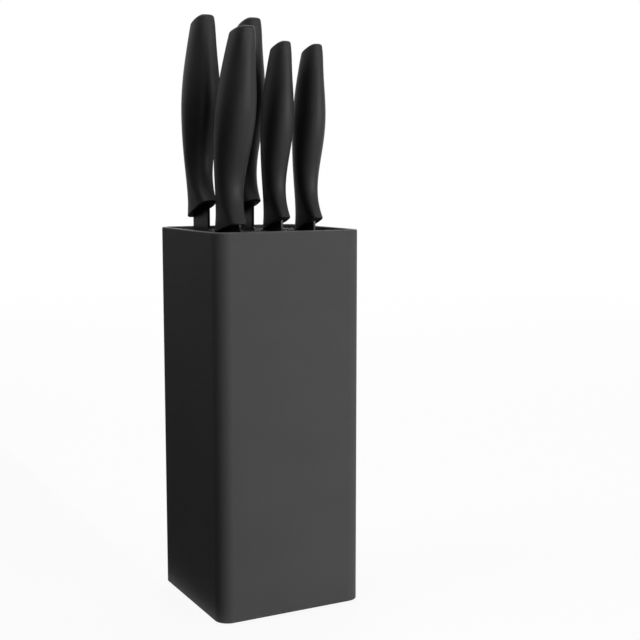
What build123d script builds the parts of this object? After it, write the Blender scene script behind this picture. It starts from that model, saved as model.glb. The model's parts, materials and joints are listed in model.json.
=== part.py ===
from build123d import *
import math
import os

os.makedirs("parts", exist_ok=True)

# The part stands on the table at Z = 0, with its axis on Z and its front face towards -Y.

# Housing: a square moulded tower, open at the top
block_height = 220.0
block_side = 90.0
corner_radius = 8.0
wall = 2.4
rim_rounding = 0.9
well_side = block_side - 2 * wall
well_radius = corner_radius - wall

# Base: a ribbed plate held up against four corner bosses, with a foot over each screw
foot_diameter = 12.0
foot_thickness = 2.0
foot_recess = 1.0
foot_margin = 0.2
base_plate_thickness = 4.0
base_plate_gap = 0.3
rib_thickness = 1.6
rib_height = 6.0
rib_pitch = 20.0
boss_height = 11.0
screw_shank_diameter = 3.0
screw_head_diameter = 5.8
screw_head_height = 1.8
screw_length = 9.0
screw_socket_across_flats = 2.0
screw_fit = 0.1
screw_chamfer = 0.3
base_side = well_side - 2 * base_plate_gap
housing_bottom = foot_thickness - foot_recess
plate_top = housing_bottom + base_plate_thickness
boss_top = plate_top + boss_height
boss_centre = base_side / 2 - foot_margin - foot_diameter / 2
boss_side = well_side - 2 * boss_centre

# Blade stock
thick_stock = 1.5
thin_stock = 1.2

# Insert: two blocks of upright flexible rods, standing one behind the other in a lift-out tray.
# A blade stands between two columns of rods, so the number of columns is odd
tray_gap = 0.4
tray_floor = 2.0
tray_wall = 1.6
tray_height = 9.0
drain_diameter = 7.0
drain_pitch = 20.0
rod_pitch_across = 5.0
rod_pitch_deep = 5.8
rod_blade_gap = 0.35
rod_margin = 1.0
rod_base_thickness = 2.8
rod_block_gap = 0.1
rod_tip_recess = 4.0
tray_side = well_side - 2 * tray_gap
rod_base_bottom = boss_top + tray_floor
rod_base_top = rod_base_bottom + rod_base_thickness
rod_base_width = tray_side - 2 * tray_wall - 2 * rod_block_gap
rod_base_depth = rod_base_width / 2 - rod_block_gap
rod_length = block_height - rod_tip_recess - rod_base_top
rod_across_flats = rod_pitch_across - thick_stock - 2 * rod_blade_gap
rod_across_corners = rod_across_flats / math.cos(math.radians(30))
columns_each_side = int((rod_base_width / 2 - rod_across_flats / 2 - rod_margin) / rod_pitch_across)
rod_columns = 2 * columns_each_side + 1
rod_rows = 1 + int((rod_base_depth - rod_across_corners - 2 * rod_margin) / rod_pitch_deep)

# Grip: oval sections from the flared bolster over a thin waist to the full palm. Its own frame has
# the blade's spine line on Z, the bolster near Z = 0, the butt towards +Z, the cutting edge
# towards -Y and the blade's flats facing +X and -X. A section's fullness is 2 for an ellipse and
# grows as its flanks get flatter and its corners squarer
grip_length = 117.9
bolster_slope = 19.0
bolster_height = 2.6
bolster_rounding = 0.6
butt_slope = 17.0
butt_rounding = 1.6
section_points = 16
flare_height, flare_back, flare_belly, flare_thickness, flare_fullness = 8.8, 2.8, 29.0, 10.2, 3.4
throat_height, throat_back, throat_belly, throat_thickness, throat_fullness = 18.1, 1.8, 21.6, 12.2, 2.8
waist_height, waist_back, waist_belly, waist_thickness, waist_fullness = 32.2, 1.7, 17.3, 15.4, 2.4
palm_height, palm_back, palm_belly, palm_thickness, palm_fullness = 60.6, 2.2, 23.8, 20.4, 2.3
swell_height, swell_back, swell_belly, swell_thickness, swell_fullness = 83.6, 0.6, 26.4, 18.9, 2.3
crown_height, crown_back, crown_belly, crown_thickness, crown_fullness = 99.0, -2.6, 25.9, 15.5, 2.3
butt_height, butt_back, butt_belly, butt_thickness, butt_fullness = 120.0, -9.8, 24.4, 9.4, 2.4

# Blade: flat stock with ground flanks, and a tang with two holes that the grip is moulded through.
# The belly's curve passes its two middle points at shares of its rise and of the sweep's length
edge_land = 0.2
tip_setback = 2.0
spine_bend = 0.62
nose_rise, nose_reach = 0.46, 0.16
belly_rise, belly_reach = 0.80, 0.48
tip_direction = (-0.62, 0.8)
tang_back = 3.0
tang_depth = 12.0
tang_length = 62.0
tang_hole_diameter = 5.0
tang_hole_pitch = 25.0
tang_hole_margin = 4.5
serration_start = 3.6
serration_pitch = 6.0
serration_radius = 4.2
serration_depth = 1.1


class LargeKnife:
    """Sizes that the knives with a full-size grip share."""

    grip_scale = 1.0
    grip_girth = 1.0
    blade_thickness = thick_stock
    neck_depth = 22.2
    ramp_height = -4.0
    heel_height = -7.0
    bevel_width = 5.0
    plunge_height = -14.0
    lean = 0.0


class SmallKnife(LargeKnife):
    """Sizes that the knives with a small grip share."""

    grip_scale = 0.933
    grip_girth = 0.78
    blade_thickness = thin_stock
    neck_depth = 18.4
    heel_height = -6.5
    plunge_height = -12.0


class BreadKnife(LargeKnife):
    """Long straight blade with a round nose and a scalloped edge."""

    name = "bread"
    blade_length = 203.0
    blade_depth = 27.0
    sweep_length = 26.0
    tip_drop = 8.0
    rod_gap = -6
    spine_place = well_side / 2 - 12.6
    bolster_rise = 4.1


class ChefKnife(LargeKnife):
    """Deep blade with a full belly, and a ramp from the bolster down to its heel."""

    name = "chef"
    grip_scale = 1.02
    blade_length = 152.0
    blade_depth = 36.8
    neck_depth = 25.8
    ramp_height = 9.6
    heel_height = 3.1
    sweep_length = 152.0
    tip_drop = 6.9
    bevel_width = 6.5
    plunge_height = 6.9
    rod_gap = -5
    spine_place = 1.4
    bolster_rise = -4.7
    lean = 7.6


class SlicingKnife(LargeKnife):
    """Long slim blade with a pointed tip."""

    name = "slicing"
    blade_length = 203.0
    blade_depth = 26.5
    sweep_length = 75.0
    tip_drop = 4.0
    rod_gap = 0
    spine_place = well_side / 2 - 8.7
    bolster_rise = 4.9
    lean = 1.2


class UtilityKnife(SmallKnife):
    """Medium slim blade with a pointed tip."""

    name = "utility"
    blade_length = 127.0
    blade_depth = 20.5
    sweep_length = 60.0
    tip_drop = 3.5
    bevel_width = 4.0
    rod_gap = 1
    spine_place = 1.0
    bolster_rise = -3.5
    lean = 1.2


class ParingKnife(SmallKnife):
    """Short blade with a pointed tip."""

    name = "paring"
    blade_length = 89.0
    blade_depth = 20.0
    sweep_length = 55.0
    tip_drop = 4.0
    bevel_width = 3.5
    rod_gap = 5
    spine_place = -1.3
    bolster_rise = -4.6


knives = [BreadKnife, ChefKnife, SlicingKnife, UtilityKnife, ParingKnife]


def save(shape, name):
    shape.label = name
    export_step(shape, f"parts/{name}.step")


def prism(sketch, bottom, height):
    """Extrude a sketch drawn in plan, from a height above the table."""
    return Pos(0, 0, bottom) * extrude(sketch, height)


def housing():
    """Square tube with a rounded rim and a solid boss in each bottom corner for a base screw."""
    height = block_height - housing_bottom
    outside = prism(RectangleRounded(block_side, block_side, corner_radius), housing_bottom, height)
    well = prism(RectangleRounded(well_side, well_side, well_radius), housing_bottom, height)
    shell = outside - well
    rim = shell.faces().sort_by(Axis.Z)[-1]
    shell = fillet(rim.edges(), rim_rounding)
    corners = GridLocations(2 * boss_centre, 2 * boss_centre, 2, 2)
    bosses = prism(Sketch() + corners * Rectangle(boss_side, boss_side), plate_top, boss_height)
    holes = prism(Sketch() + corners * Circle((screw_shank_diameter + screw_fit) / 2),
                  plate_top, screw_length)
    return shell + (bosses & well) - holes


def base_plate():
    """Plate inside the foot of the tower, ribbed above, with pockets for screw heads and feet."""
    outline = RectangleRounded(base_side, base_side, well_radius - base_plate_gap)
    plate = prism(outline, housing_bottom, base_plate_thickness)
    rib_length = 2 * rib_pitch + rib_thickness
    ribs = Sketch() + GridLocations(rib_pitch, 0, 3, 1) * Rectangle(rib_thickness, rib_length)
    ribs += GridLocations(0, rib_pitch, 1, 3) * Rectangle(rib_length, rib_thickness)
    plate += prism(ribs, plate_top, rib_height)
    corners = GridLocations(2 * boss_centre, 2 * boss_centre, 2, 2)
    foot_pockets = Sketch() + corners * Circle(foot_diameter / 2)
    head_pockets = Sketch() + corners * Circle((screw_head_diameter + screw_fit) / 2)
    shank_holes = Sketch() + corners * Circle((screw_shank_diameter + screw_fit) / 2)
    plate -= prism(foot_pockets, housing_bottom, foot_recess)
    plate -= prism(head_pockets, foot_thickness, screw_head_height)
    plate -= prism(shank_holes, housing_bottom, base_plate_thickness)
    return plate


def base_screw():
    """Pan-head screw, head down, with a hexagon socket."""
    head = prism(Circle(screw_head_diameter / 2), foot_thickness, screw_head_height)
    head = chamfer(head.edges().group_by(Axis.Z)[0], screw_chamfer)
    shank = prism(Circle(screw_shank_diameter / 2), foot_thickness + screw_head_height, screw_length)
    socket = RegularPolygon(screw_socket_across_flats / 2, 6, major_radius=False)
    return head + shank - prism(socket, foot_thickness, screw_head_height / 2)


def foot():
    """Soft disc with a rounded tread, pressed into its pocket in the base plate."""
    disc = prism(Circle(foot_diameter / 2), 0, foot_thickness)
    return fillet(disc.edges().group_by(Axis.Z)[0], foot_recess / 2)


def insert_tray():
    """Shallow square tray that carries both rod blocks and stands on the corner bosses."""
    radius = well_radius - tray_gap
    inside = tray_side - 2 * tray_wall
    tray = prism(RectangleRounded(tray_side, tray_side, radius), boss_top, tray_height)
    tray -= prism(RectangleRounded(inside, inside, radius - tray_wall),
                  boss_top + tray_floor, tray_height)
    drains = Sketch() + GridLocations(drain_pitch, drain_pitch, 3, 3) * Circle(drain_diameter / 2)
    return tray - prism(drains, boss_top, tray_floor)


def rod_block():
    """One moulding: a base plate with rows of upright rods, so close that they grip a blade."""
    radius = well_radius - tray_gap - tray_wall
    base = prism(RectangleRounded(rod_base_width, rod_base_depth, radius),
                 rod_base_bottom, rod_base_thickness)
    rod = RegularPolygon(rod_across_flats / 2, 6, major_radius=False, rotation=30)
    rods = GridLocations(rod_pitch_across, rod_pitch_deep, rod_columns, rod_rows) * rod
    return base + prism(Sketch() + rods, rod_base_top, rod_length)


def bolster_at(knife, depth):
    """Height of a knife's slanted bolster face at a depth from its spine line."""
    return bolster_height * knife.grip_scale + depth * math.tan(math.radians(bolster_slope))


def blade_outline(knife, bevel, heel_height, setback):
    """Side view of blade and tang on the YZ plane, with the cutting edge drawn back by a bevel."""
    depth = knife.blade_depth - bevel
    drop = knife.tip_drop - setback / 2
    tip_height = setback - knife.blade_length
    rise = depth - drop
    bend = (0, -spine_bend * knife.blade_length)
    tip = (-drop, tip_height)
    nose = (-drop - nose_rise * rise, tip_height + nose_reach * knife.sweep_length)
    belly = (-drop - belly_rise * rise, tip_height + belly_reach * knife.sweep_length)
    run_out = (-depth, tip_height + knife.sweep_length)
    tang_front = tang_back + tang_depth * knife.grip_scale
    tang_top = tang_length * knife.grip_scale
    spine_curve = TangentArc(bend, tip, tangent=(0, -1))
    edge_curve = Spline(tip, nose, belly, run_out, tangents=[tip_direction, (0, 1)])
    straights = Polyline(
        run_out,
        (-depth, heel_height),
        (-knife.neck_depth, knife.ramp_height),
        (-knife.neck_depth, bolster_at(knife, knife.neck_depth)),
        (-tang_front, bolster_at(knife, tang_front)),
        (-tang_front, tang_top),
        (-tang_back, tang_top),
        (-tang_back, bolster_at(knife, tang_back)),
        (0, bolster_at(knife, 0)),
        bend,
    )
    return make_face(Plane.YZ * (Curve() + [spine_curve, edge_curve, straights]))


def scallops(knife):
    """Row of round cutters along the straight part of a cutting edge."""
    straight = knife.blade_length - knife.sweep_length + knife.heel_height
    cutters = Part()
    for index in range(int(straight / serration_pitch)):
        height = knife.heel_height - serration_start - index * serration_pitch
        centre = Pos(0, serration_depth - knife.blade_depth - serration_radius, height)
        cutters += centre * Rot(0, 90, 0) * Cylinder(serration_radius, 2 * knife.blade_thickness)
    return cutters


def blade(knife):
    """Flat blank with both flanks ground down to a thin edge, tang and tang holes included."""
    whole = blade_outline(knife, 0, knife.heel_height, 0)
    ground = blade_outline(knife, knife.bevel_width, knife.plunge_height, tip_setback)
    core = extrude(whole, edge_land / 2, both=True)
    faces = Pos(edge_land / 2, 0, 0) * whole + Pos(knife.blade_thickness / 2, 0, 0) * ground
    flank = loft(faces, ruled=True)
    blank = core + flank + mirror(flank, Plane.YZ)
    tang_centre = -tang_back - tang_depth * knife.grip_scale / 2
    top_hole = tang_length * knife.grip_scale - tang_hole_margin - tang_hole_diameter / 2
    for drop in (0, tang_hole_pitch):
        hole = Cylinder(tang_hole_diameter / 2, 2 * knife.blade_thickness)
        blank -= Pos(0, tang_centre, top_hole - drop) * Rot(0, 90, 0) * hole
    return blank


def grip_section(across, deep, fullness):
    """Closed curve through points that lie between an ellipse and its rectangle."""
    points = []
    for index in range(section_points):
        turn = 2 * math.pi * index / section_points
        shares = [math.cos(turn), math.sin(turn)]
        across_share, deep_share = [math.copysign(abs(x) ** (2 / fullness), x) for x in shares]
        points.append((across / 2 * across_share, deep / 2 * deep_share))
    return make_face(Spline(points, periodic=True))


def grip(knife):
    """Moulded grip: a loft through its sections, cut to a slant and rounded at both ends."""
    stations = [
        (-flare_height, flare_back, flare_belly, flare_thickness, flare_fullness),
        (flare_height, flare_back, flare_belly, flare_thickness, flare_fullness),
        (throat_height, throat_back, throat_belly, throat_thickness, throat_fullness),
        (waist_height, waist_back, waist_belly, waist_thickness, waist_fullness),
        (palm_height, palm_back, palm_belly, palm_thickness, palm_fullness),
        (swell_height, swell_back, swell_belly, swell_thickness, swell_fullness),
        (crown_height, crown_back, crown_belly, crown_thickness, crown_fullness),
        (butt_height, butt_back, butt_belly, butt_thickness, butt_fullness),
    ]
    sections = Sketch()
    for height, back, belly, thickness, fullness in stations:
        deep = (back + belly) * knife.grip_scale
        section = grip_section(thickness * knife.grip_girth, deep, fullness)
        middle = (back - belly) / 2 * knife.grip_scale
        sections += Pos(0, middle, height * knife.grip_scale) * section
    body = loft(sections)
    beyond = Box(2 * grip_length, 2 * grip_length, 2 * grip_length)
    below = Rot(-bolster_slope, 0, 0) * Pos(0, 0, -grip_length) * beyond
    body -= Pos(0, 0, bolster_at(knife, 0)) * below
    above = Rot(-butt_slope, 0, 0) * Pos(0, 0, grip_length) * beyond
    body -= Pos(0, -butt_belly * knife.grip_scale, grip_length * knife.grip_scale) * above
    ends = body.faces().filter_by(GeomType.PLANE).sort_by(Axis.Z)
    body = fillet(ends[-1].edges(), butt_rounding * knife.grip_girth)
    ends = body.faces().filter_by(GeomType.PLANE).sort_by(Axis.Z)
    return fillet(ends[0].edges(), bolster_rounding)


def place(knife):
    """Where a knife stands: midway between two columns of rods, tip down, leaning to the front."""
    across = (knife.rod_gap + 0.5) * rod_pitch_across
    bolster_place = block_height + knife.bolster_rise
    return Pos(across, knife.spine_place, bolster_place) * Rot(knife.lean, 0, 0)


save(housing(), "housing")
save(base_plate(), "base_plate")
save(insert_tray(), "insert_tray")

screws = []
for depth_name, depth_side in (("front", -1), ("rear", 1)):
    for across_name, across_side in (("left", -1), ("right", 1)):
        spot = Pos(across_side * boss_centre, depth_side * boss_centre, 0)
        save(spot * foot(), f"foot_{depth_name}_{across_name}")
        screws.append(spot * base_screw())
save(Compound(children=screws), "base_screws")

block_shift = (rod_base_depth + rod_block_gap) / 2
save(Pos(0, -block_shift, 0) * rod_block(), "rod_block_front")
save(Pos(0, block_shift, 0) * rod_block(), "rod_block_rear")

for knife in knives:
    steel = blade(knife)
    moulding = grip(knife) - steel
    if knife is BreadKnife:
        steel -= scallops(knife)
    save(place(knife) * steel, f"{knife.name}_knife_blade")
    save(place(knife) * moulding, f"{knife.name}_knife_handle")
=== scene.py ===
import json
import math
import random

import bmesh
import bpy
from mathutils import Matrix, Vector


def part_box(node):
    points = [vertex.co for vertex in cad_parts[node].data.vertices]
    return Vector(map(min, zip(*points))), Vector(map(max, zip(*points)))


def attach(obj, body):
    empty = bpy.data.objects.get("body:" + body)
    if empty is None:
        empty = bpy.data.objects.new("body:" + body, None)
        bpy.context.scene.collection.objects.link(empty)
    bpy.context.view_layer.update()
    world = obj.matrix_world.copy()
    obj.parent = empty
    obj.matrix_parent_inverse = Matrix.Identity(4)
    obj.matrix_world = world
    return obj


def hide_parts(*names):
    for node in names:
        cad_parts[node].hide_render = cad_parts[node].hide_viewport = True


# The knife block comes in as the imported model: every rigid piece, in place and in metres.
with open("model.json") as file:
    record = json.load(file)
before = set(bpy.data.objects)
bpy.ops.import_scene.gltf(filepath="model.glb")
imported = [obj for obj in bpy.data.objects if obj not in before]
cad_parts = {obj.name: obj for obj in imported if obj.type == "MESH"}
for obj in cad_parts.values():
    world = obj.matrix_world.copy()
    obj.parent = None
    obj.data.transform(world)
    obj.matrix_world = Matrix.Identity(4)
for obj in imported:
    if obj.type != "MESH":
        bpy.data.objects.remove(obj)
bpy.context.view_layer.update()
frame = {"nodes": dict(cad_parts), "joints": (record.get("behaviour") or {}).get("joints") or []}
nodes = frame["nodes"]

# Housing: a square tower, injection moulded in charcoal plastic with a fine spark-eroded grain.
# It is one shell with a rounded rim and a screw boss in each bottom corner. Knives slide past the
# rim and rub it paler, and its top rounding is painted paler too, as a painted highlight. The
# worktop scuffs its foot, and a cloth leaves faint marks around it.
MM = 0.001
HOUSING_COLOUR = (0.061, 0.061, 0.062)
# Paler colour for the worn places, and for the painted highlight along the rim's top rounding.
HOUSING_RUBBED_AND_HIGHLIGHT = (0.095, 0.095, 0.096)
HOUSING_DRIFT = 0.04
HOUSING_ROUGHNESS = 0.58
HOUSING_CLOUDING = 0.06
HOUSING_GLOSS = 0.15
HOUSING_GRAIN = 0.35 * MM
HOUSING_GRAIN_DEPTH = 0.012 * MM
HOUSING_CLOUDS = 38 * MM
CLOUD_FADE = (0.3, 0.7)
# A patchy band over the rim's top rounding: real wear, and a painted highlight where light catches
# the rim.
RIM_WEAR_AND_HIGHLIGHT_DEPTH = 0.9 * MM
RIM_WEAR_AND_HIGHLIGHT_LENGTH = 9 * MM
RIM_WEAR_AND_HIGHLIGHT_FADE = (0.2, 0.6)
FOOT_WEAR_HEIGHT = 5 * MM
FOOT_WEAR_SPOT = 2.2 * MM
FOOT_WEAR_FADE = (0.52, 0.68)
FOOT_WEAR_SHARE = 0.6
RUBBED_POLISH = 0.12
WIPE_LENGTH = 60 * MM
WIPE_WIDTH = 2.5 * MM
WIPE_FADE = (0.42, 0.75)
WIPE_DULLING = 0.06


class Wire:
    """A socket in a material. Plain arithmetic on it adds the Math nodes."""

    def __init__(self, tree, socket=None):
        self.tree = tree
        self.socket = socket

    def node(self, kind, settings, inputs, output=0):
        """Any other node: its type, its settings, then the values or links of its sockets."""
        made = self.tree.nodes.new(kind)
        for name, value in settings.items():
            setattr(made, name, value)
        for name, value in inputs.items():
            if isinstance(value, Wire):
                self.tree.links.new(value.socket, made.inputs[name])
            else:
                made.inputs[name].default_value = value
        return Wire(self.tree, made.outputs[output]) if made.outputs else None

    def math(self, operation, first, second=0.0):
        return self.node("ShaderNodeMath", {"operation": operation}, {0: first, 1: second})

    def __add__(self, other):
        return self.math("ADD", self, other)

    def __radd__(self, other):
        return self.math("ADD", other, self)

    def __sub__(self, other):
        return self.math("SUBTRACT", self, other)

    def __rsub__(self, other):
        return self.math("SUBTRACT", other, self)

    def __mul__(self, other):
        return self.math("MULTIPLY", self, other)

    def __rmul__(self, other):
        return self.math("MULTIPLY", other, self)

    def __abs__(self):
        return self.math("ABSOLUTE", self)

    def rise(self, low, high):
        """0 below low and 1 above high, with a smooth step between them."""
        return self.node(
            "ShaderNodeMapRange",
            {"interpolation_type": "SMOOTHSTEP"},
            {"Value": self, "From Min": low, "From Max": high},
        )


def object_place(wire, centre=(0, 0, 0), turn=(0, 0, 0), stretch=(1, 1, 1)):
    """Object coordinates about a centre, turned, then scaled along each axis."""
    place = wire.node("ShaderNodeTexCoord", {}, {}, "Object")
    moved = wire.node("ShaderNodeVectorMath", {"operation": "SUBTRACT"}, {0: place, 1: centre})
    return wire.node(
        "ShaderNodeMapping", {}, {"Vector": moved, "Rotation": turn, "Scale": stretch})


def along(wire, place, axis):
    """How far a place lies along the axis X, Y or Z."""
    return wire.node("ShaderNodeSeparateXYZ", {}, {"Vector": place}, axis)


def speckle(wire, place, size, detail=2.0, rough=0.5):
    """Noise from 0 to 1 whose blotches are about the given size."""
    return wire.node(
        "ShaderNodeTexNoise", {},
        {"Vector": place, "Scale": 1.0 / size, "Detail": detail, "Roughness": rough})


def blend(wire, mask, first, second):
    """First colour where the mask is 0 and second where it is 1. Either may be a wire."""
    first, second = [c if isinstance(c, Wire) else (*c, 1.0) for c in (first, second)]
    return wire.node(
        "ShaderNodeMix", {"data_type": "RGBA"}, {"Factor": mask, 6: first, 7: second}, 2)


def drifting(wire, clouds, first, second):
    """A colour that drifts from the first to the second through the middle of the clouds."""
    return blend(wire, clouds.rise(*CLOUD_FADE), first, second)


def shaded(colour, share):
    """A colour times a share."""
    return [share * c for c in colour]


def relief(wire, height, depth):
    """Bump from a height of 0 to 1."""
    return wire.node("ShaderNodeBump", {}, {"Height": height, "Distance": depth})


def new_finish(name):
    """An empty material and a wire in its tree."""
    material = bpy.data.materials.new(name)
    material.use_nodes = True
    material.node_tree.nodes.clear()
    return material, Wire(material.node_tree)


def close_finish(wire, inputs):
    """The shader and the output at the end of a finish."""
    shader = wire.node("ShaderNodeBsdfPrincipled", {}, inputs)
    wire.node("ShaderNodeOutputMaterial", {"target": "ALL"}, {"Surface": shader})


def coat(piece, material):
    """Gives a piece one finish all over."""
    piece.data.materials.clear()
    piece.data.materials.append(material)


def housing_plastic():
    material, wire = new_finish("charcoal moulded plastic")
    place = object_place(wire)
    height = along(wire, place, "Z")
    clouds = speckle(wire, place, HOUSING_CLOUDS, detail=4.0)
    grain = speckle(wire, place, HOUSING_GRAIN, detail=3.0, rough=0.6)
    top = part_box("housing")[1].z
    # Painted highlight and wear: the rim's top rounding is painted paler, in patches.
    rim_wear_and_highlight = height.rise(top - RIM_WEAR_AND_HIGHLIGHT_DEPTH, top)
    rim_wear_and_highlight = rim_wear_and_highlight * speckle(wire, place, RIM_WEAR_AND_HIGHLIGHT_LENGTH).rise(*RIM_WEAR_AND_HIGHLIGHT_FADE)
    foot = 1.0 - height.rise(0.0, FOOT_WEAR_HEIGHT)
    foot = foot * speckle(wire, place, FOOT_WEAR_SPOT, detail=5.0).rise(*FOOT_WEAR_FADE)
    # The paler colour covers the rim's painted highlight and wear, and the scuffed foot.
    rubbed = rim_wear_and_highlight + FOOT_WEAR_SHARE * foot
    around = object_place(wire, stretch=(1.0, 1.0, WIPE_LENGTH / WIPE_WIDTH))
    wipes = speckle(wire, around, WIPE_LENGTH, detail=5.0, rough=0.6).rise(*WIPE_FADE)
    body = drifting(wire, clouds, shaded(HOUSING_COLOUR, 1.0 - HOUSING_DRIFT),
                    shaded(HOUSING_COLOUR, 1.0 + HOUSING_DRIFT))
    close_finish(wire, {
        "Base Color": blend(wire, rubbed, body, HOUSING_RUBBED_AND_HIGHLIGHT),
        "Roughness": HOUSING_ROUGHNESS + HOUSING_CLOUDING * clouds + WIPE_DULLING * wipes
        - RUBBED_POLISH * rubbed,
        "Normal": relief(wire, grain, HOUSING_GRAIN_DEPTH),
        "Specular IOR Level": HOUSING_GLOSS,
    })
    return material


coat(nodes["housing"], housing_plastic())

# Base: a moulded plate that closes the foot of the tower, held up by four pan-head screws, with a
# soft rubber foot pressed into the pocket over each screw. The plate, and the tray that carries
# the rods, are plain black plastic.
BASE_COLOUR = (0.022, 0.022, 0.023)
BASE_ROUGHNESS = 0.50
BASE_GRAIN = 0.5 * MM
BASE_GRAIN_DEPTH = 0.015 * MM
TRAY_ROUGHNESS = 0.46
TRAY_GRAIN = 0.6 * MM
TRAY_GRAIN_DEPTH = 0.012 * MM
FOOT_COLOUR = (0.016, 0.016, 0.016)
FOOT_ROUGHNESS = 0.78
FOOT_GRAIN = 0.25 * MM
FOOT_GRAIN_DEPTH = 0.03 * MM
PLAIN_DRIFT = 0.1
PLAIN_CLOUDING = 0.08
PLAIN_GLOSS = 0.35
CLOUDS_OF_GRAIN = 30
SCREW_COLOUR = (0.34, 0.33, 0.31)
SCREW_PATINA = (0.20, 0.19, 0.17)
SCREW_ROUGHNESS = 0.30
PATINA_SPOT = 2.5 * MM
PATINA_FADE = (0.45, 0.75)
PATINA_COVER = 0.25
PATINA_DULLING = 0.2
TURNING_LENGTH = 0.5 * MM
TURNING_SQUEEZE = 12
TURNING_DEPTH = 0.01 * MM
TURNING_DULLING = 0.2


def plain_plastic(name, colour, roughness, grain, depth):
    material, wire = new_finish(name)
    place = object_place(wire)
    clouds = speckle(wire, place, CLOUDS_OF_GRAIN * grain, detail=4.0)
    close_finish(wire, {
        "Base Color": drifting(wire, clouds, shaded(colour, 1.0 - PLAIN_DRIFT),
                               shaded(colour, 1.0 + PLAIN_DRIFT)),
        "Roughness": roughness + PLAIN_CLOUDING * clouds,
        "Normal": relief(wire, speckle(wire, place, grain, detail=3.0), depth),
        "Specular IOR Level": PLAIN_GLOSS,
    })
    return material


def screw_steel():
    material, wire = new_finish("zinc plated steel")
    around = object_place(wire, stretch=(1, 1, TURNING_SQUEEZE))
    turning = speckle(wire, around, TURNING_LENGTH, detail=3.0)
    patina = speckle(wire, object_place(wire), PATINA_SPOT, detail=4.0).rise(*PATINA_FADE)
    close_finish(wire, {
        "Base Color": blend(wire, patina, SCREW_COLOUR, SCREW_PATINA),
        "Metallic": 1.0 - PATINA_COVER * patina,
        "Roughness": SCREW_ROUGHNESS + TURNING_DULLING * turning + PATINA_DULLING * patina,
        "Normal": relief(wire, turning, TURNING_DEPTH),
    })
    return material


base_plastic = plain_plastic(
    "black base plastic", BASE_COLOUR, BASE_ROUGHNESS, BASE_GRAIN, BASE_GRAIN_DEPTH)
tray_plastic = plain_plastic(
    "black tray plastic", BASE_COLOUR, TRAY_ROUGHNESS, TRAY_GRAIN, TRAY_GRAIN_DEPTH)
rubber = plain_plastic(
    "foot rubber", FOOT_COLOUR, FOOT_ROUGHNESS, FOOT_GRAIN, FOOT_GRAIN_DEPTH)
coat(nodes["base_plate"], base_plastic)
coat(nodes["insert_tray"], tray_plastic)
coat(nodes["base_screws"], screw_steel())
for corner in ("front_left", "front_right", "rear_left", "rear_right"):
    coat(nodes[f"foot_{corner}"], rubber)

# Rod blocks: two mouldings of soft black plastic, each a base plate with rows of slim round rods
# with domed tips. A blade pushed in anywhere parts the rods, and they spring back against it. The
# rear block's rods stand a little taller, and a rod under a bolster is pressed down.
RODS_ACROSS = 15
RODS_DEEP = 7
ROD_PITCH_ACROSS = 5.0 * MM
ROD_PITCH_DEEP = 5.8 * MM
ROD_RADIUS = 1.38 * MM
ROD_SIDES = 10
ROD_DOME = 1.0 * MM
ROD_DOME_STEPS = 3
ROD_BASE_THICKNESS = 2.8 * MM
ROD_BASE_CORNER = 3.6 * MM
ROD_BASE_CORNER_STEPS = 6
UPRIGHT = 0.9
LEVEL = 0.98
ROD_SWAY = 0.35 * MM
REAR_ROD_RISE = 2.2 * MM
ROD_UNEVENNESS = 0.25 * MM
ROD_COLOUR = (0.013, 0.013, 0.014)
ROD_TIP_COLOUR = (0.030, 0.030, 0.031)
ROD_ROUGHNESS = 0.50
ROD_RUB_DEPTH = 3 * MM
ROD_RUB_SPOT = 1.2 * MM
ROD_RUB_FADE = (0.3, 0.6)
ROD_RUB_DULLING = 0.08
ROD_STREAK_WIDTH = 0.4 * MM
ROD_STREAK_SQUEEZE = 0.03
ROD_STREAK_DEPTH = 0.01 * MM
ROD_STREAK_DULLING = 0.12


def is_upright(edge):
    """True for an edge that runs up, or nearly so."""
    return abs((edge.verts[0].co - edge.verts[1].co).normalized().z) > UPRIGHT


def rod_base(mesh, low, high):
    """The plate under the rods, with rounded upright edges."""
    middle = (low + high) / 2
    size = high - low
    bmesh.ops.create_cube(
        mesh, size=1.0,
        matrix=Matrix.Translation((middle.x, middle.y, low.z + ROD_BASE_THICKNESS / 2))
        @ Matrix.Diagonal((size.x, size.y, ROD_BASE_THICKNESS, 1.0)))
    bmesh.ops.bevel(mesh, geom=[e for e in mesh.edges if is_upright(e)], offset=ROD_BASE_CORNER,
                    segments=ROD_BASE_CORNER_STEPS, profile=0.5, affect="EDGES", material=-1)


def one_rod(mesh, length):
    """A round rod standing on the origin, with a domed tip."""
    bmesh.ops.create_cone(
        mesh, cap_ends=True, segments=ROD_SIDES, radius1=ROD_RADIUS, radius2=ROD_RADIUS,
        depth=length, matrix=Matrix.Translation((0, 0, length / 2)))
    tip = [e for e in mesh.edges if min(v.co.z for v in e.verts) > length / 2]
    bmesh.ops.bevel(mesh, geom=tip, offset=ROD_DOME, segments=ROD_DOME_STEPS, profile=0.5,
                    affect="EDGES", material=-1)


def bolster_patches(tip):
    """The rectangles in plan where a grip's bolster comes down lower than the rods' tips."""
    patches = []
    for name in nodes:
        if name.endswith("_handle"):
            lowest = [v.co for v in nodes[name].data.vertices if v.co.z < tip]
            if lowest:
                patches.append((min(p.x for p in lowest), max(p.x for p in lowest),
                                min(p.y for p in lowest), max(p.y for p in lowest)))
    return patches


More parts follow.
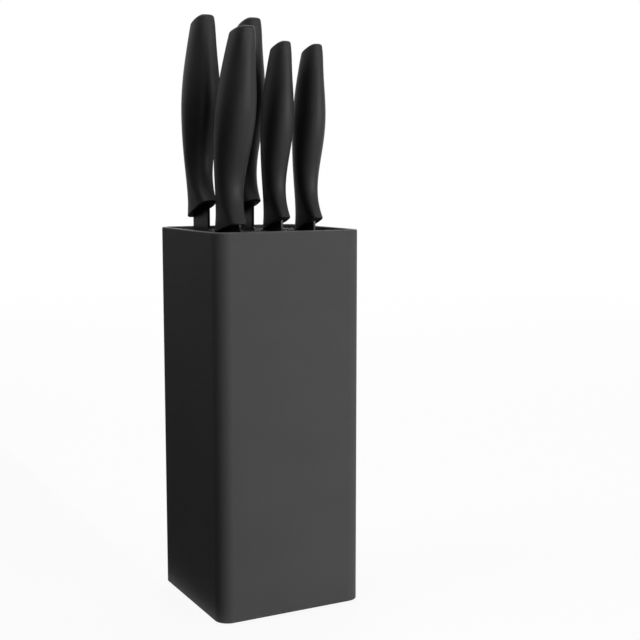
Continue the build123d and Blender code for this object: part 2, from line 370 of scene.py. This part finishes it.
def rod_block(node, rise, seed):
    """A block of rods in the place of its node, each tip swayed and raised a hair by itself.

    A rod under a bolster is pressed down to the height that its node gives it.
    """
    low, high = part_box(node)
    middle = (low + high) / 2
    foot = low.z + ROD_BASE_THICKNESS
    length = high.z + rise - foot
    reach = ROD_RADIUS + ROD_SWAY
    pressed = bolster_patches(high.z + rise + ROD_UNEVENNESS) if rise else []
    chance = random.Random(seed)
    mesh = bmesh.new()
    one_rod(mesh, length)
    pattern = mesh.verts[:] + mesh.edges[:] + mesh.faces[:]
    for row in range(RODS_DEEP):
        for column in range(RODS_ACROSS):
            copy = bmesh.ops.duplicate(mesh, geom=pattern)["geom"]
            verts = [v for v in copy if isinstance(v, bmesh.types.BMVert)]
            sway = chance.uniform(-ROD_SWAY, ROD_SWAY)
            lift = chance.uniform(-1, 1) * ROD_UNEVENNESS if rise else 0.0
            spot = Vector((
                middle.x + (column - (RODS_ACROSS - 1) / 2) * ROD_PITCH_ACROSS,
                middle.y + (row - (RODS_DEEP - 1) / 2) * ROD_PITCH_DEEP,
                foot))
            if any(left - reach < spot.x < right + reach and near - reach < spot.y < far + reach
                   for left, right, near, far in pressed):
                lift = -rise
            for v in verts:
                v.co.y += sway * (v.co.z / length) ** 2
                v.co.z += lift * v.co.z / length
            bmesh.ops.translate(mesh, verts=verts, vec=spot)
    bmesh.ops.delete(mesh, geom=[g for g in pattern if isinstance(g, bmesh.types.BMVert)],
                     context="VERTS")
    for face in mesh.faces:
        face.smooth = abs(face.normal.z) < LEVEL
    plate = bmesh.new()
    rod_base(plate, low, high)
    plate_data = bpy.data.meshes.new("rod base")
    plate.to_mesh(plate_data)
    plate.free()
    mesh.from_mesh(plate_data)
    bpy.data.meshes.remove(plate_data)
    data = bpy.data.meshes.new(f"soft_{node}")
    mesh.to_mesh(data)
    mesh.free()
    piece = bpy.data.objects.new(f"soft_{node}", data)
    bpy.context.scene.collection.objects.link(piece)
    return piece


def rod_finish():
    """Soft plastic, with faint streaks up the shafts and tips that the blades have rubbed grey."""
    material, wire = new_finish("soft rod plastic")
    place = object_place(wire)
    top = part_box("rod_block_rear")[1].z
    tip = along(wire, place, "Z").rise(top - ROD_RUB_DEPTH, top)
    tip = tip * speckle(wire, place, ROD_RUB_SPOT, detail=3.0).rise(*ROD_RUB_FADE)
    upward = object_place(wire, stretch=(1, 1, ROD_STREAK_SQUEEZE))
    streaks = speckle(wire, upward, ROD_STREAK_WIDTH, detail=3.0)
    close_finish(wire, {
        "Base Color": blend(wire, tip, ROD_COLOUR, ROD_TIP_COLOUR),
        "Roughness": ROD_ROUGHNESS + ROD_STREAK_DULLING * streaks + ROD_RUB_DULLING * tip,
        "Normal": relief(wire, streaks, ROD_STREAK_DEPTH),
        "Specular IOR Level": PLAIN_GLOSS,
    })
    return material


rod_plastic = rod_finish()
for seed, (node, rise) in enumerate((("rod_block_front", 0.0), ("rod_block_rear", REAR_ROD_RISE))):
    block = rod_block(node, rise, seed)
    coat(block, rod_plastic)
    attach(block, "insert")
    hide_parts(node)

# Blades: stainless blanks, stamped, ground to a flat bevel on both sides and dip coated in black
# non-stick. The coating is satin and nearly blue-black, and the grinding lines of the bevel, which
# run square to the edge, show through it as a paler grey.
COATING = (0.013, 0.013, 0.016)
COATING_DEEP = (0.008, 0.008, 0.010)
BLADE_ROUGHNESS = 0.36
BLADE_GLOSS = 0.25
BLADE_FOG = 26 * MM
BLADE_FOG_DULLING = 0.06
BLADE_GRIT = 0.22 * MM
BLADE_GRIT_SHARE = 0.35
BLADE_RELIEF = 0.012 * MM
BEVEL_PALE = (0.115, 0.115, 0.120)
BEVEL_DARK = (0.060, 0.060, 0.066)
BEVEL_METAL = 0.75
BEVEL_POLISH = 0.02
BEVEL_START = 0.97
BEVEL_EDGE = 0.02 * MM
GRIND_PITCH = 0.35 * MM
GRIND_LENGTH = 9 * MM
GRIND_FADE = (0.25, 0.75)
GRIND_DULLING = 0.14
FLANK_FACING = (0.8, 0.9)
SCUFF_PITCH = 0.30 * MM
SCUFF_LENGTH = 45 * MM
SCUFF_FADE = (0.62, 0.74)
SCUFF_PATCHES = (0.35, 0.65)
SCUFF_SHARE = 0.7
SCUFF_DULLING = 0.10
SCUFF_COLOUR = (0.034, 0.034, 0.037)


def knife_turn(knife):
    """The angle that a knife leans forward, from the line it is drawn out along."""
    joint = next(j for j in frame["joints"] if j["name"] == f"{knife}_knife_draw")
    return math.atan2(-joint["axis"][1], joint["axis"][2])


def knife_place(wire, knife, low, high):
    """Coordinates about the middle of one piece of a knife, with Z along its blade."""
    return object_place(wire, (low + high) / 2, (-knife_turn(knife), 0, 0))


def coated_steel(knife):
    low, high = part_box(f"{knife}_knife_blade")
    half_thickness = (high.x - low.x) / 2
    material, wire = new_finish(f"{knife} coated steel")
    place = knife_place(wire, knife, low, high)
    out = abs(along(wire, place, "X"))
    normal = wire.node("ShaderNodeNewGeometry", {}, {}, "Normal")
    flank = abs(along(wire, normal, "X")).rise(*FLANK_FACING)
    bevel_start = BEVEL_START * half_thickness
    ground = (1.0 - out.rise(bevel_start - BEVEL_EDGE, bevel_start)) * flank
    lines = wire.node("ShaderNodeMapping", {}, {
        "Vector": place, "Scale": (1.0, GRIND_PITCH / GRIND_LENGTH, 1.0)})
    scratch = speckle(wire, lines, GRIND_PITCH, detail=3.0, rough=0.7)
    drawn = wire.node("ShaderNodeMapping", {}, {
        "Vector": place, "Scale": (1.0, 1.0, SCUFF_PITCH / SCUFF_LENGTH)})
    fog = speckle(wire, place, BLADE_FOG, detail=3.0)
    grit = speckle(wire, place, BLADE_GRIT)
    scuffs = speckle(wire, drawn, SCUFF_PITCH).rise(*SCUFF_FADE) * fog.rise(*SCUFF_PATCHES)
    coating = drifting(wire, fog, COATING_DEEP, COATING)
    flat = blend(wire, SCUFF_SHARE * scuffs, coating, SCUFF_COLOUR)
    bevel = blend(wire, scratch.rise(*GRIND_FADE), BEVEL_DARK, BEVEL_PALE)
    close_finish(wire, {
        "Base Color": blend(wire, ground, flat, bevel),
        "Metallic": BEVEL_METAL * ground,
        "Roughness": BLADE_ROUGHNESS + BLADE_FOG_DULLING * fog + SCUFF_DULLING * scuffs
        + ground * (GRIND_DULLING * scratch - BEVEL_POLISH),
        "Normal": relief(wire, scratch * ground + BLADE_GRIT_SHARE * grit, BLADE_RELIEF),
        "Specular IOR Level": BLADE_GLOSS,
    })
    return material


# Grips: black polypropylene moulded straight over the tang, satin, with a very fine leathery
# grain. The palm is handled smoother than the ends, the butt is knocked paler, and a hairline
# parting seam runs down the back and the belly where the two halves of the mould met.
GRIP_COLOUR = (0.028, 0.028, 0.028)
GRIP_RUBBED = (0.055, 0.055, 0.055)
GRIP_DRIFT = 0.08
GRIP_ROUGHNESS = 0.46
GRIP_GLOSS = 0.15
GRIP_FOG = 20 * MM
GRIP_FOG_DULLING = 0.06
GRIP_GRAIN = 0.30 * MM
GRIP_RELIEF = 0.010 * MM
SEAM_HALF_WIDTH = 0.09 * MM
SEAM_SHARE = 0.8
PALM_SHARE = (0.25, 0.8)
HANDLED_PATCHES = (0.25, 0.7)
HANDLED_POLISH = 0.07
BUTT_SHARE = 0.90
KNOCK_SPOT = 1.6 * MM
KNOCK_FADE = (0.5, 0.66)
KNOCK_SHARE = 0.5
KNOCK_DULLING = 0.08


def grip_plastic(knife):
    low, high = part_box(f"{knife}_knife_handle")
    half_length = (high.z - low.z) / 2
    material, wire = new_finish(f"{knife} grip plastic")
    place = knife_place(wire, knife, low, high)
    split = abs(along(wire, place, "X"))
    height = along(wire, place, "Z")
    seam = 1.0 - split.rise(SEAM_HALF_WIDTH, 2 * SEAM_HALF_WIDTH)
    fog = speckle(wire, place, GRIP_FOG, detail=4.0)
    grain = speckle(wire, place, GRIP_GRAIN, detail=3.0, rough=0.6)
    palm = 1.0 - abs(height).rise(PALM_SHARE[0] * half_length, PALM_SHARE[1] * half_length)
    handled = palm * fog.rise(*HANDLED_PATCHES)
    butt = height.rise(BUTT_SHARE * half_length, half_length)
    knocks = butt * speckle(wire, place, KNOCK_SPOT, detail=5.0).rise(*KNOCK_FADE)
    body = drifting(wire, fog, shaded(GRIP_COLOUR, 1.0 - GRIP_DRIFT),
                    shaded(GRIP_COLOUR, 1.0 + GRIP_DRIFT))
    close_finish(wire, {
        "Base Color": blend(wire, KNOCK_SHARE * knocks, body, GRIP_RUBBED),
        "Roughness": GRIP_ROUGHNESS + GRIP_FOG_DULLING * fog - HANDLED_POLISH * handled
        + KNOCK_DULLING * knocks,
        "Normal": relief(wire, grain + SEAM_SHARE * seam, GRIP_RELIEF),
        "Specular IOR Level": GRIP_GLOSS,
    })
    return material


for knife in ("bread", "chef", "slicing", "utility", "paring"):
    coat(nodes[f"{knife}_knife_blade"], coated_steel(knife))
    coat(nodes[f"{knife}_knife_handle"], grip_plastic(knife))

# Studio: a white floor that runs off to plain white and keeps a faint shadow. One broad lamp stands
# in front to the right, with weak ones high at the left, behind and overhead. A black flag lies and
# stands at the left, unseen, and keeps the white surroundings from shining in that side.
FLOOR_SIDE = 8.0
FLOOR_COLOUR = (0.90, 0.90, 0.90)
FLOOR_DRIFT = 0.01
FLOOR_ROUGHNESS = 0.9
FLOOR_GLOSS = 0.1
FLOOR_PULP = 60 * MM
FLOOR_GLOW = 0.92
FLOOR_FADE_START = 0.45
FLOOR_FADE_END = 2.2
SKY_STRENGTH = 0.07
WHITE = (1, 1, 1, 1)
FLAG_INNER = -0.050
FLAG_WIDTH = 0.30
FLAG_NEAR = -0.40
FLAG_FAR = 1.20
FLAG_LIFT = 0.002
FLAG_HEIGHT = 0.42
FELT_COLOUR = (0.004, 0.004, 0.004)
FELT_ROUGHNESS = 0.95
FELT_NAP = 2 * MM
FELT_NAP_DEPTH = 0.2 * MM


def seen_directly(wire):
    """1 for rays from the camera, a mirror or a clear pane, and 0 for the light on surfaces."""
    rays = [wire.node("ShaderNodeLightPath", {}, {}, f"Is {kind} Ray")
            for kind in ("Camera", "Glossy", "Transmission")]
    return wire.math("MINIMUM", rays[0] + rays[1] + rays[2], 1.0)


def floor_paper():
    """Matt white paper that shows as plain white, more so the further it is from the block."""
    material, wire = new_finish("white paper")
    place = object_place(wire)
    pulp = speckle(wire, place, FLOOR_PULP, detail=3.0)
    away = wire.node("ShaderNodeVectorMath", {"operation": "LENGTH"}, {0: place}, "Value")
    share = FLOOR_GLOW + (1.0 - FLOOR_GLOW) * away.rise(FLOOR_FADE_START, FLOOR_FADE_END)
    paper = wire.node("ShaderNodeBsdfPrincipled", {}, {
        "Base Color": blend(wire, pulp, shaded(FLOOR_COLOUR, 1.0 - FLOOR_DRIFT), FLOOR_COLOUR),
        "Roughness": FLOOR_ROUGHNESS,
        "Specular IOR Level": FLOOR_GLOSS,
    })
    glow = wire.node("ShaderNodeEmission", {}, {"Color": WHITE, "Strength": 1.0})
    mixed = wire.node("ShaderNodeMixShader", {}, {
        0: share * seen_directly(wire), 1: paper, 2: glow})
    wire.node("ShaderNodeOutputMaterial", {"target": "ALL"}, {"Surface": mixed})
    return material


def stage_piece(name, mesh, material):
    """Makes a piece of the studio from a mesh."""
    data = bpy.data.meshes.new(name)
    mesh.to_mesh(data)
    mesh.free()
    piece = bpy.data.objects.new(name, data)
    bpy.context.scene.collection.objects.link(piece)
    coat(piece, material)
    return piece


sheet = bmesh.new()
bmesh.ops.create_grid(sheet, x_segments=8, y_segments=8, size=FLOOR_SIDE / 2)
floor = stage_piece("floor", sheet, floor_paper())

card = bmesh.new()
bmesh.ops.create_grid(
    card, x_segments=1, y_segments=1, size=0.5,
    matrix=Matrix.Translation((-FLAG_WIDTH / 2, (FLAG_NEAR + FLAG_FAR) / 2, FLAG_LIFT))
    @ Matrix.Diagonal((FLAG_WIDTH, FLAG_FAR - FLAG_NEAR, 1.0, 1.0)))
outer_edge = [e for e in card.edges if max(v.co.x for v in e.verts) < -FLAG_WIDTH / 2]
upright = bmesh.ops.extrude_edge_only(card, edges=outer_edge)["geom"]
bmesh.ops.translate(
    card, vec=(0, 0, FLAG_HEIGHT), verts=[g for g in upright if isinstance(g, bmesh.types.BMVert)])
bmesh.ops.translate(card, vec=(FLAG_INNER, 0, 0), verts=card.verts)
felt = plain_plastic("black felt", FELT_COLOUR, FELT_ROUGHNESS, FELT_NAP, FELT_NAP_DEPTH)
flag = stage_piece("flag", card, felt)
flag.visible_camera = False
flag.visible_shadow = False

sky = bpy.data.worlds.new("studio")
sky.use_nodes = True
sky.node_tree.nodes.clear()
air = Wire(sky.node_tree)
dome = air.node("ShaderNodeBackground", {}, {
    "Color": WHITE,
    "Strength": SKY_STRENGTH + (1.0 - SKY_STRENGTH) * seen_directly(air)})
air.node("ShaderNodeOutputWorld", {}, {"Surface": dome})
bpy.context.scene.world = sky


def softbox(name, place, aim, side, watts):
    """A square lamp that faces the point it is aimed at."""
    data = bpy.data.lights.new(name, "AREA")
    data.shape = "SQUARE"
    data.size = side
    data.energy = watts
    lamp = bpy.data.objects.new(name, data)
    bpy.context.scene.collection.objects.link(lamp)
    lamp.location = place
    lamp.rotation_euler = (Vector(aim) - Vector(place)).to_track_quat("-Z", "Y").to_euler()


softbox("right box", place=(0.74, -1.43, 0.20), aim=(0, 0, 0.12), side=0.8, watts=21.5)
softbox("left box", place=(-0.9, 0.1, 1.3), aim=(0, 0, 0.2), side=0.6, watts=5.0)
softbox("rear box", place=(0.8, 1.5, 0.9), aim=(0, 0, 0.2), side=0.8, watts=9.0)
softbox("top box", place=(0.1, 0.1, 1.6), aim=(0, 0, 0.2), side=0.8, watts=9.0)

# Camera: a little above the rim, looking slightly down past the left front corner.
CAMERA_PLACE = (-0.2911, -0.6277, 0.2507)
CAMERA_PITCH = 7.03
CAMERA_YAW = 27.92
CAMERA_LENS = 66.05
CAMERA_SENSOR = 36.0

view_data = bpy.data.cameras.new("camera")
view_data.lens = CAMERA_LENS
view_data.sensor_width = CAMERA_SENSOR
view = bpy.data.objects.new("camera", view_data)
bpy.context.scene.collection.objects.link(view)
view.location = CAMERA_PLACE
view.rotation_euler = (math.radians(90 - CAMERA_PITCH), 0, math.radians(-CAMERA_YAW))
bpy.context.scene.camera = view
bpy.context.scene.view_settings.view_transform = "Standard"
